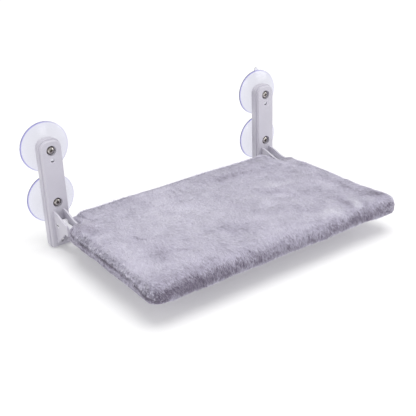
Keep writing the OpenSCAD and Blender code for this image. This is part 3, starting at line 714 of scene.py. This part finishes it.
places = coordinates(cushion.data)
normals = vertex_normals(cushion.data)
signed = near_seam(places)
upward = np.clip(normals[:, 2], 0, 1)
edge_share = 1 - np.clip((upward - 0.55) / 0.35, 0, 1)
ear_share = beside_ears(places)
groove = -GROOVE_DEPTH * bell(signed, 0.0, GROOVE_WIDTH)
lip = LIP_RISE * bell(signed, LIP_PLACE, LIP_WIDTH)
swell = SWELL_RISE * bell(signed, -SWELL_PLACE, SWELL_WIDTH)
hollow = HOLLOW_DEPTH * noise_at(places, HOLLOW_SIZE, 1)
pucker = (PUCKER_TOP + PUCKER_EDGE * edge_share) * noise_at(places, PUCKER_SIZE, 2)
curls = CURL_RISE * noise_at(places, CURL_SIZE, 15) * bell(signed, -CURL_PLACE, CURL_WIDTH)
move = (groove + lip + swell + curls) * seam_share(places) + hollow + pucker
moved = places + normals * (move * (1 - 0.5 * ear_share))[:, None]
height = moved[:, 2] - PIVOT_Z
inwards, out = from_bracket(moved)
limit = PRESSED_Z + PRESSED_SLOPE * (out - PRESSED_FROM)
pressed = (1 - smooth(inwards, *PRESSED_IN_FADE)) * (1 - smooth(out, *PRESSED_OUT_FADE))
moved[:, 2] -= np.clip(height - limit, 0, None) * pressed
full_side = smooth(moved[:, 0], *SIDE_X) * smooth(out, *SIDE_OUT)
full_corner = smooth(moved[:, 0], *CORNER_X) * smooth(out, *CORNER_OUT)
moved += full_side[:, None] * np.array(SIDE_PULL) + full_corner[:, None] * np.array(CORNER_PULL)
moved[:, 2] -= CORNER_SAG * full_corner * (1 - smooth(height, *CORNER_SAG_BELOW))
set_coordinates(cushion.data, moved)
print("sculpted", len(places), "points, deepest", round(float(move.min()) * 1000, 2), "mm")

# %% [markdown]
# The foam must not show through the finished cover. A point of it lies inside when the nearest spot of the cover has
# a normal that points away from the point.

# %% Foam stays inside
cover_tree = BVHTree.FromPolygons([tuple(p) for p in coordinates(cushion.data)],
                                  [tuple(f.vertices) for f in cushion.data.polygons])
outside = 0
for vertex in nodes["foam_pad"].data.vertices:
    spot, face_normal, _, _ = cover_tree.find_nearest(vertex.co)
    outside += (vertex.co - spot).dot(face_normal) > 0
print("foam points outside the cover:", outside, "of", len(nodes["foam_pad"].data.vertices))

# %% [markdown]
# ## Where the pile lies
# The plush's pile is about five millimetres long. Its nap runs to the front and down over the edge, and hands and
# paws have brushed patches of it to other directions, which is what makes light and dark streaks on one colour of
# fabric; here the light and dark of those patches is painted into the tufts' tone. Values on each point steer the
# tufts: length, direction, how wildly they stray, twist and gather in locks, how many there are, and their tone. The
# painted patches are placed one by one, as a hand would stroke them. Along the front edge a band of painted shade
# lies where the pile opens as it bends over, at a height that changes along the edge. Painted shade also darkens the
# seam's line, the hem and the underside, and painted light brightens the far edge. The pile is trimmed short at the
# seam, below the bed and beside the brackets, where it has no room.

# %% Pile fields
SIDE_NAP = np.array((0.0, -0.80, -0.45))
# Painted shade along the front edge: where along X, at what fall, how deep, and how long its tail is.
EDGE_X = (-0.150, -0.050, 0.065, 0.150, 0.210)
EDGE_SHADE_AT = (0.0185, 0.0145, 0.0125, 0.0185, 0.0165)
EDGE_SHADE_DEPTH = (0.42, 0.23, 0.28, 0.46, 0.24)
EDGE_SHADE_TAIL = (0.16, 0.21, 0.12, 0.06, 0.02)
PAINTED_NAP_PATCHES = (
    (0.082, 0.067, 0.046, 0.013, 12, -0.24), (0.094, 0.168, 0.050, 0.010, 55, -0.13),
    (0.118, 0.140, 0.026, 0.007, 20, 0.15), (0.170, 0.119, 0.009, 0.006, 20, -0.20),
    (0.195, 0.212, 0.008, 0.042, 0, -0.16), (0.212, 0.266, 0.012, 0.022, 0, -0.28),
    (0.158, 0.283, 0.006, 0.026, 18, 0.28), (0.111, 0.275, 0.022, 0.018, 30, 0.26),
    (0.149, 0.262, 0.008, 0.022, 10, -0.22), (0.180, 0.300, 0.022, 0.010, 20, -0.24),
    (0.189, 0.275, 0.006, 0.016, 20, 0.18), (0.089, 0.243, 0.026, 0.012, 40, -0.14),
    (-0.032, 0.228, 0.030, 0.020, 40, -0.12), (0.055, 0.166, 0.030, 0.010, 40, 0.12),
    (-0.204, 0.086, 0.012, 0.018, -20, -0.22), (-0.164, 0.161, 0.013, 0.0045, 50, -0.26),
    (-0.166, 0.218, 0.020, 0.018, 20, -0.16), (-0.132, 0.234, 0.009, 0.005, 30, -0.20),
    (-0.095, 0.148, 0.070, 0.040, 30, 0.07), (-0.195, 0.279, 0.014, 0.014, 0, -0.14),
    (-0.140, 0.280, 0.030, 0.010, 0, -0.12), (-0.100, 0.040, 0.022, 0.010, 20, -0.12),
)


PILE_LENGTH, PILE_UNEVEN = 0.0052, 0.0006
HEM_TRIM, SEAM_TRIM, LOWER_TRIM, UNDER_TRIM, BRACKET_TRIM = 0.62, 0.52, 0.30, 0.60, 0.66
SWIRLS = ((0.090, 3, 42), (0.034, 4, 18), (0.012, 5, 9))
PARTING = 0.0013
TONE_BASE, TONE_STREAK, TONE_WIDE, TONE_FINE = 0.58, 0.08, 0.045, 0.05
STREAK_STRETCH = 0.25


def normalised(vectors):
    return vectors / np.maximum(np.linalg.norm(vectors, axis=1), 1e-9)[:, None]


def painted_nap_patch(places, ragged, x, u, size_x, size_u, turn):
    """A soft oval patch of painted nap light and shade on the top, turned by some degrees, with a ragged edge."""
    dx, du = places[:, 0] - x + ragged, (FACE_Y - places[:, 1]) - u - ragged
    c, s = math.cos(math.radians(turn)), math.sin(math.radians(turn))
    return np.exp(-((dx * c + du * s) / size_x) ** 2 - ((-dx * s + du * c) / size_u) ** 2)


places = coordinates(cushion.data)
normals = vertex_normals(cushion.data)
signed = near_seam(places)
seamed = seam_share(places)
inwards, out = from_bracket(places)
height = places[:, 2] - PIVOT_Z
nx, ny, nz = normals.T
top_share = smooth(nz, 0.60, 0.95)
front_share = smooth(-ny, 0.20, 0.75) * smooth(out, 0.255, 0.280)
lower_front = front_share * (1 - smooth(height, -0.006, 0.006))
hem_share = smooth(signed, 0.0004, 0.0014) * (1 - smooth(signed, 0.0150, 0.0210)) * seamed
above_seam = smooth(signed, -0.0200, -0.0060) * (1 - smooth(signed, -0.0010, 0.0)) * seamed
under_share = smooth(-nz, 0.3, 0.7)
far_edge = np.clip(smooth(ny, 0.10, 0.40) + smooth(nx, 0.10, 0.40), 0, 1) * smooth(nz, -0.10, 0.25)
bracket_zone = smooth(0.026 - inwards, 0.0, 0.005) * smooth(0.098 - out, 0.0, 0.020)

nap = np.stack([np.zeros(len(places)), -nz, ny], axis=1)
nap = normalised(nap + np.abs(normals[:, :1]) * SIDE_NAP)
turn = np.radians(sum(noise_at(places, size, seed) * degrees for size, seed, degrees in SWIRLS))[:, None]
nap = nap * np.cos(turn) + np.cross(normals, nap) * np.sin(turn)
away = np.maximum(smooth(ny, 0.05, 0.35), smooth(nx, 0.05, 0.35))[:, None]
nap = nap * (1 - away) + np.array((0.0, 0.0, -1.6)) * away
nap[:, 2] += 0.9 * smooth(signed, -0.0060, -0.0020) * above_seam * (1 - away[:, 0]) - 0.9 * hem_share
tangent = normalised(nap - normals * (nap * normals).sum(axis=1)[:, None])
rise = np.radians(15 + 8 * (1 - top_share) + 6 * front_share + 12 * above_seam + 5 * noise_at(places, 0.020, 6))
direction = normalised(normals * np.sin(rise)[:, None] + tangent * np.cos(rise)[:, None])
facing = normals.copy()
facing[:, 2] += 0.25 + 0.80 * far_edge
facing = normalised(facing)

length = PILE_LENGTH + PILE_UNEVEN * noise_at(places, 0.025, 7)
for trim, share in ((HEM_TRIM, hem_share), (SEAM_TRIM, above_seam), (LOWER_TRIM, lower_front),
                    (UNDER_TRIM, under_share), (BRACKET_TRIM, bracket_zone)):
    length = length * (1 - trim * share)
wild = 0.11 + 0.08 * (1 - top_share) + 0.10 * front_share
lock = 0.20 + 0.7 * (1 - top_share) + 0.6 * above_seam + 0.3 * front_share
twist = 0.28 + 0.30 * (1 - top_share)
seam_parting_and_shade = bell(signed, 0.0, PARTING) * seamed
density = (1 - 0.998 * seam_parting_and_shade) * (1 - 0.60 * under_share) * (1 + 0.4 * above_seam)

ragged = 0.010 * noise_at(places, 0.022, 21) + 0.004 * noise_at(places, 0.007, 23)
streak_place = places.copy()
streak_place[:, 1] *= STREAK_STRETCH
tone = TONE_BASE + TONE_STREAK * noise_at(streak_place, 0.008, 8) + TONE_WIDE * noise_at(places, 0.040, 9)
tone += TONE_FINE * noise_at(places, 0.013, 10) - 0.04 * smooth(np.abs(places[:, 0]), 0.050, 0.160)
nap_paint_share = (1 - under_share) * (1 - 0.7 * front_share)
# Painted light and shade: each nap patch lightens or darkens the tone by its own amount.
for *patch, change in PAINTED_NAP_PATCHES:
    tone += 1.4 * change * painted_nap_patch(places, ragged, *patch) * nap_paint_share
# Painted shade: a dark band along the front edge, where the pile opens as it bends over.
fall = (height - BOTTOM_Z) + 0.6 * (FRONT_U - out) + 0.6 * ragged
edge_shade_at, dark, edge_shade_tail = (np.interp(places[:, 0], EDGE_X, row) for row in (EDGE_SHADE_AT, EDGE_SHADE_DEPTH, EDGE_SHADE_TAIL))
painted_edge_shade = bell(fall, edge_shade_at, 0.0108) * dark
painted_edge_shade_tail = (1 - smooth(fall, 0.018, 0.060)) * edge_shade_tail
hidden = np.maximum(under_share, 0.85 * smooth(np.abs(nx), 0.55, 0.90))
tone -= (painted_edge_shade + painted_edge_shade_tail) * smooth(out, 0.240, 0.270) * (1 - hidden)
# A little lighter along the lowest millimetres of the front.
tone += 0.09 * (1 - smooth(fall, 0.004, 0.013)) * front_share
# Painted shade: the hem under the seam and the underside are painted darker.
tone -= 0.24 * hem_share + 0.10 * under_share * (1 - hem_share)
# Random tone on the edges, and painted light: the far edge is painted lighter.
tone += 0.14 * noise_at(places, 0.0048, 22) * (1 - top_share) + 0.10 * far_edge
tone += above_seam * (0.26 * noise_at(places, 0.0030, 24) - 0.02)
# Painted shade: a dark line along the seam, where the pile parts.
tone -= 0.85 * seam_parting_and_shade
mix = 0.29 + 0.22 * front_share + 0.36 * above_seam + 0.20 * hem_share

fields = cushion.data.attributes
for field_name, values in (("pile_length", length), ("pile_wild", wild), ("pile_twist", twist), ("pile_mix", mix),
                           ("pile_lock", lock), ("pile_density", density), ("pile_tone", np.clip(tone, 0, 1))):
    fields.new(field_name, "FLOAT", "POINT").data.foreach_set("value", values.astype(np.float32))
for field_name, values in (("pile_direction", direction), ("pile_facing", facing)):
    fields.new(field_name, "FLOAT_VECTOR", "POINT").data.foreach_set("vector", values.astype(np.float32).ravel())
print("pile length", round(float(length.min()) * 1000, 1), "to", round(float(length.max()) * 1000, 1), "mm")

# %% [markdown]
# The coat is cut into parts, so that no piece gets too many triangles: the top in four quarters, the two sides, the
# front edge, the back edge and the underside. A whole number on each face says to which part its tufts belong.

# %% Parts of the coat
PARTS = ("top_back_left", "top_back_right", "top_front_left", "top_front_right", "side_left", "side_right", "front",
         "back", "underside")
SIDE_FROM, FRONT_FROM, BACK_TO, BACK_WITHIN = 0.150, 0.262, 0.045, 0.197
RIM_BELOW, UNDER_BELOW = 0.80, -0.75


def part_of_faces(mesh):
    centre, normal = read_vectors(mesh.polygons, "center"), read_vectors(mesh.polygons, "normal")
    x, u = centre[:, 0], FACE_Y - centre[:, 1]
    part = np.where(x < 0, 0, 1) + np.where(u > (BACK_U + FRONT_U) / 2, 2, 0)
    rim = normal[:, 2] < RIM_BELOW
    for name, chosen in (("side_left", rim & (x < -SIDE_FROM)), ("side_right", rim & (x > SIDE_FROM)),
                         ("front", rim & (u > FRONT_FROM)),
                         ("back", rim & (u < BACK_TO) & (np.abs(x) < BACK_WITHIN)),
                         ("underside", normal[:, 2] < UNDER_BELOW)):
        part[chosen] = PARTS.index(name)
    return part


face_part = part_of_faces(cushion.data)
fields.new("pile_part", "INT", "FACE").data.foreach_set("value", face_part.astype(np.int32))
print("faces in each part:", dict(zip(PARTS, np.bincount(face_part, minlength=len(PARTS)).tolist())))

# %% [markdown]
# ## Plush materials
# The backing under the pile is painted darker than the tufts, as painted shade, because little light gets down there.
# A tuft is painted dark at its root and pale at its tip, as painted shade among the roots, and each one has its own
# tone on top of the tone of its patch. Sheen gives the pale glow that fine fibres have at their edges.

# %% Plush materials
TUFT_DARK, TUFT_MIDDLE, TUFT_LIGHT = (0.19, 0.158, 0.228), (0.585, 0.556, 0.677), (0.85, 0.836, 0.912)


def attribute(tree, name):
    return add(tree, "ShaderNodeAttribute", attribute_name=name, attribute_type="GEOMETRY").outputs["Fac"]


tuft_plush, tree, shader = start_material(
    "plush_tufts", TUFT_LIGHT, 0.75, {"Sheen Weight": 0.35, "Sheen Roughness": 0.5, "Specular IOR Level": 0.15})
own = calc(tree, "MULTIPLY", calc(tree, "SUBTRACT", attribute(tree, "tuft_tone"), 0.5), attribute(tree, "pile_mix"))
mixed = calc(tree, "ADD", spread(tree, attribute(tree, "pile_tone"), 0.06, 0.86), own)
# Painted shade: each tuft gets darker towards its root.
mixed = calc(tree, "ADD", mixed, calc(tree, "MULTIPLY", attribute(tree, "blade_height"), 0.12))
tone_color = ramp(tree, mixed, [(0.08, TUFT_DARK), (0.45, TUFT_MIDDLE), (0.95, TUFT_LIGHT)])
link_inputs(tree, shader, {"Base Color": tone_color, "Normal": bump(tree, pattern(tree, 3000.0, 2.0), 0.4, 0.0001)})

backing, tree, shader = start_material("plush_backing_painted_shade", (0.42, 0.40, 0.48), 0.95,
                                       {"Sheen Weight": 0.4, "Specular IOR Level": 0.1})
knit = pattern(tree, 900.0, 3.0)
patch = calc(tree, "MULTIPLY", attribute(tree, "pile_tone"), 0.7)
patch = calc(tree, "ADD", patch, calc(tree, "MULTIPLY", knit, 0.4))
# Painted shade: the backing's colours are darker than the tufts'.
tone_color = ramp(tree, patch, [(0.10, (0.10, 0.085, 0.115)), (0.45, (0.36, 0.335, 0.42)),
                                (0.95, (0.62, 0.595, 0.69))])
link_inputs(tree, shader, {"Base Color": tone_color, "Normal": bump(tree, knit, 0.8, 0.0006)})
cushion.data.materials.clear()
cushion.data.materials.append(backing)
print("plush:", tuft_plush.name, "over", backing.name)

# %% [markdown]
# ## Tufts by Geometry Nodes
# The tree scatters points on one part of the cover, turns a narrow blade at each point so that it follows the pile's
# direction, and scales it. A noise with a grain of two to three millimetres draws neighbours together into locks,
# which share their lean and their tone. The blade is a strip of a grid, tapered and bent by its own coordinates. The
# inputs set how many tufts there are and how wide they are.

# %% Geometry Nodes tree of the pile
FLOAT, VECTOR = "FLOAT", "FLOAT_VECTOR"


def named(tree, name, kind=FLOAT):
    made = add(tree, "GeometryNodeInputNamedAttribute", {"Name": name}, data_type=kind)
    return made.outputs["Attribute"]


def store(tree, geometry, name, value, kind=FLOAT):
    made = add(tree, "GeometryNodeStoreNamedAttribute", {"Name": name}, {"Geometry": geometry, "Value": value},
               data_type=kind, domain="POINT")
    return made.outputs["Geometry"]


def random_between(tree, low, high, seed, kind=FLOAT):
    low_socket, high_socket, output = {FLOAT: (2, 3, 1), VECTOR: (0, 1, 0)}[kind]
    made = add(tree, "FunctionNodeRandomValue", {low_socket: low, high_socket: high, "Seed": seed}, data_type=kind)
    return made.outputs[output]


def shifted(tree, start, shift, strength):
    """A vector plus a second one, scaled by the attribute that strength names."""
    scaled = add(tree, "ShaderNodeVectorMath", links={0: shift, "Scale": named(tree, strength)}, operation="SCALE")
    return add(tree, "ShaderNodeVectorMath", links={0: start, 1: scaled.outputs[0]}, operation="ADD").outputs[0]


def swayed(tree, name, seed, strength):
    """The named direction with a random sway."""
    sway = random_between(tree, (-1, -1, -1), (1, 1, 1), seed, VECTOR)
    return shifted(tree, named(tree, name, VECTOR), sway, strength)


BLADE_TAPER, TAPER_POWER, BLADE_BEND = 0.86, 1.6, -0.22
TALL_RANGE, WIDE_RANGE, TONE_RANGE = (0.70, 1.25), (0.65, 1.3), (0.12, 0.88)
LOCK_SCALE, LOCK_TONE = 420.0, 1.4
LOCK_SHAPE = (1.0, 0.5, 1.0)
TREE_INPUTS = (("Geometry", "Geometry"), ("Tufts per area", "Float"), ("Tuft width", "Float"), ("Part", "Int"),
               ("Seed", "Int"))


def pile_blade(tree):
    """A tapered, bent strip of unit height, with its own height kept as an attribute."""
    grid = add(tree, "GeometryNodeMeshGrid", {"Size X": 1.0, "Size Y": 1.0, "Vertices X": 2, "Vertices Y": 3})
    parts = add(tree, "ShaderNodeSeparateXYZ", links={"Vector": add(tree, "GeometryNodeInputPosition").outputs[0]})
    height = calc(tree, "ADD", parts.outputs["Y"], 0.5)
    narrowed = calc(tree, "MULTIPLY", calc(tree, "POWER", height, TAPER_POWER), BLADE_TAPER)
    taper = calc(tree, "SUBTRACT", 1.0, narrowed)
    bend = calc(tree, "MULTIPLY", calc(tree, "POWER", height, 2.0), BLADE_BEND)
    shape = add(tree, "ShaderNodeCombineXYZ",
                links={"X": calc(tree, "MULTIPLY", parts.outputs["X"], taper), "Y": bend, "Z": height})
    kept = store(tree, grid.outputs["Mesh"], "blade_height", height)
    return add(tree, "GeometryNodeSetPosition", links={"Geometry": kept, "Position": shape.outputs[0]}).outputs[0]


def pile_tree():
    tree = bpy.data.node_groups.new("pile_tufts", "GeometryNodeTree")
    sockets = {name: tree.interface.new_socket(name, in_out="INPUT", socket_type=f"NodeSocket{kind}").identifier
               for name, kind in TREE_INPUTS}
    tree.interface.new_socket("Geometry", in_out="OUTPUT", socket_type="NodeSocketGeometry")
    given = tree.nodes.new("NodeGroupInput")
    chosen = add(tree, "FunctionNodeCompare", data_type="INT", operation="EQUAL",
                 links={"A": named(tree, "pile_part", "INT"), "B": given.outputs["Part"]})
    number = calc(tree, "MULTIPLY", given.outputs["Tufts per area"], named(tree, "pile_density"))
    scatter = add(tree, "GeometryNodeDistributePointsOnFaces",
                  links={"Mesh": given.outputs["Geometry"], "Selection": chosen.outputs[0], "Density": number,
                         "Seed": given.outputs["Seed"]})
    position = add(tree, "GeometryNodeInputPosition").outputs[0]
    drawn_out = add(tree, "ShaderNodeVectorMath", {1: LOCK_SHAPE}, {0: position}, operation="MULTIPLY").outputs[0]
    locks = add(tree, "ShaderNodeTexNoise", {"Scale": LOCK_SCALE, "Detail": 1.0}, {"Vector": drawn_out})
    shared = calc(tree, "MULTIPLY", calc(tree, "SUBTRACT", locks.outputs["Fac"], 0.5), LOCK_TONE)
    tuft_tone = calc(tree, "ADD", random_between(tree, *TONE_RANGE, 11), shared)
    points = store(tree, scatter.outputs["Points"], "tuft_tone", tuft_tone)
    points = store(tree, points, "tuft_root", position, VECTOR)
    gathered = add(tree, "ShaderNodeVectorMath", {1: (0.5, 0.5, 0.5)}, {0: locks.outputs["Color"]},
                   operation="SUBTRACT").outputs[0]
    heading = shifted(tree, swayed(tree, "pile_direction", 12, "pile_wild"), gathered, "pile_lock")
    turn_node = add(tree, "FunctionNodeAxesToRotation", primary_axis="Z", secondary_axis="Y",
                    links={"Primary Axis": heading, "Secondary Axis": swayed(tree, "pile_facing", 13, "pile_twist")})
    tall = calc(tree, "MULTIPLY", named(tree, "pile_length"), random_between(tree, *TALL_RANGE, 14))
    wide = calc(tree, "MULTIPLY", given.outputs["Tuft width"], random_between(tree, *WIDE_RANGE, 15))
    size = add(tree, "ShaderNodeCombineXYZ", links={"X": wide, "Y": tall, "Z": tall})
    tufts = add(tree, "GeometryNodeInstanceOnPoints",
                links={"Points": points, "Instance": pile_blade(tree), "Rotation": turn_node.outputs[0],
                       "Scale": size.outputs[0]})
    real = add(tree, "GeometryNodeRealizeInstances", links={"Geometry": tufts.outputs[0]})
    finish = add(tree, "GeometryNodeSetMaterial", {"Material": tuft_plush}, {"Geometry": real.outputs[0]})
    add(tree, "NodeGroupOutput", links={0: finish.outputs[0]})
    return tree, sockets


tuft_tree, tuft_inputs = pile_tree()
print("tree inputs:", tuft_inputs)

# %% [markdown]
# Each part of the coat runs through the tree and becomes a plain mesh. The tufts also get a UV map of their own for
# baking: each tuft takes a small patch of the picture at its root's place, because many thousand strips could never
# be unfolded side by side.

# %% Grow the coat
TOP_TUFTS = (1250000, 0.00078)
TUFTS = {"side_left": (1900000, 0.00070), "side_right": (1900000, 0.00070), "front": (1700000, 0.00070),
         "back": (1100000, 0.00080), "underside": (300000, 0.0012)}
FIRST_SEED = 40
BLADE_POINTS = 6
UV_PATCH, UV_MARGIN, UV_SPAN = 0.0030, 0.01, 0.97


def bake_map(mesh, part):
    """Root coordinates as a map: across the top for flat parts, round the edge for upright ones."""
    root = read_vectors(mesh.attributes["tuft_root"].data, "vector")
    if part.startswith("top") or part == "underside":
        flat = root[:, :2]
    elif part.startswith("side"):
        flat = root[:, 1:]
    else:
        flat = root[:, [0, 2]]
    low, high = flat.min(axis=0), flat.max(axis=0)
    flat = UV_MARGIN + UV_SPAN * (flat - low) / np.maximum(high - low, 1e-6)
    order = np.arange(len(root)) % BLADE_POINTS
    flat = flat + UV_PATCH * np.stack([order // 3, (order % 3) / 2], axis=1)
    corner = np.empty(len(mesh.loops), np.int32)
    mesh.loops.foreach_get("vertex_index", corner)
    layer = mesh.uv_layers.new(name="OFBake")
    layer.data.foreach_set("uv", flat[corner].astype(np.float32).ravel())


def grow(part):
    index = PARTS.index(part)
    per_area, width = TUFTS.get(part, TOP_TUFTS)
    share = 1.0
    modifier = cushion.modifiers.new("pile", "NODES")
    modifier.node_group = tuft_tree
    for name, value in (("Tufts per area", per_area * share), ("Tuft width", width), ("Part", index),
                        ("Seed", FIRST_SEED + index)):
        modifier[tuft_inputs[name]] = value
    graph = bpy.context.evaluated_depsgraph_get()
    mesh = bpy.data.meshes.new_from_object(cushion.evaluated_get(graph), depsgraph=graph)
    cushion.modifiers.clear()
    mesh.name = f"pile_{part}"
    bake_map(mesh, part)
    return new_object(f"pile_{part}", mesh)


coat = [grow(part) for part in PARTS]
for piece in coat:
    mesh = piece.data
    mesh.calc_loop_triangles()
    print(piece.name, "tufts:", len(mesh.vertices) // BLADE_POINTS, "triangles:", len(mesh.loop_triangles))

# %% [markdown]
# ## Join the dressing to the frame
# The cover stands for the plain solid of the CAD model, and rides on the bed. The coat rides with it, piece by piece.

# %% Rides
cushion.name = "sewn_plush_cover"
cushion.data.shade_smooth()
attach(cushion, "bed")
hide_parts("plush_cover")
for piece in coat:
    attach(piece, "bed")
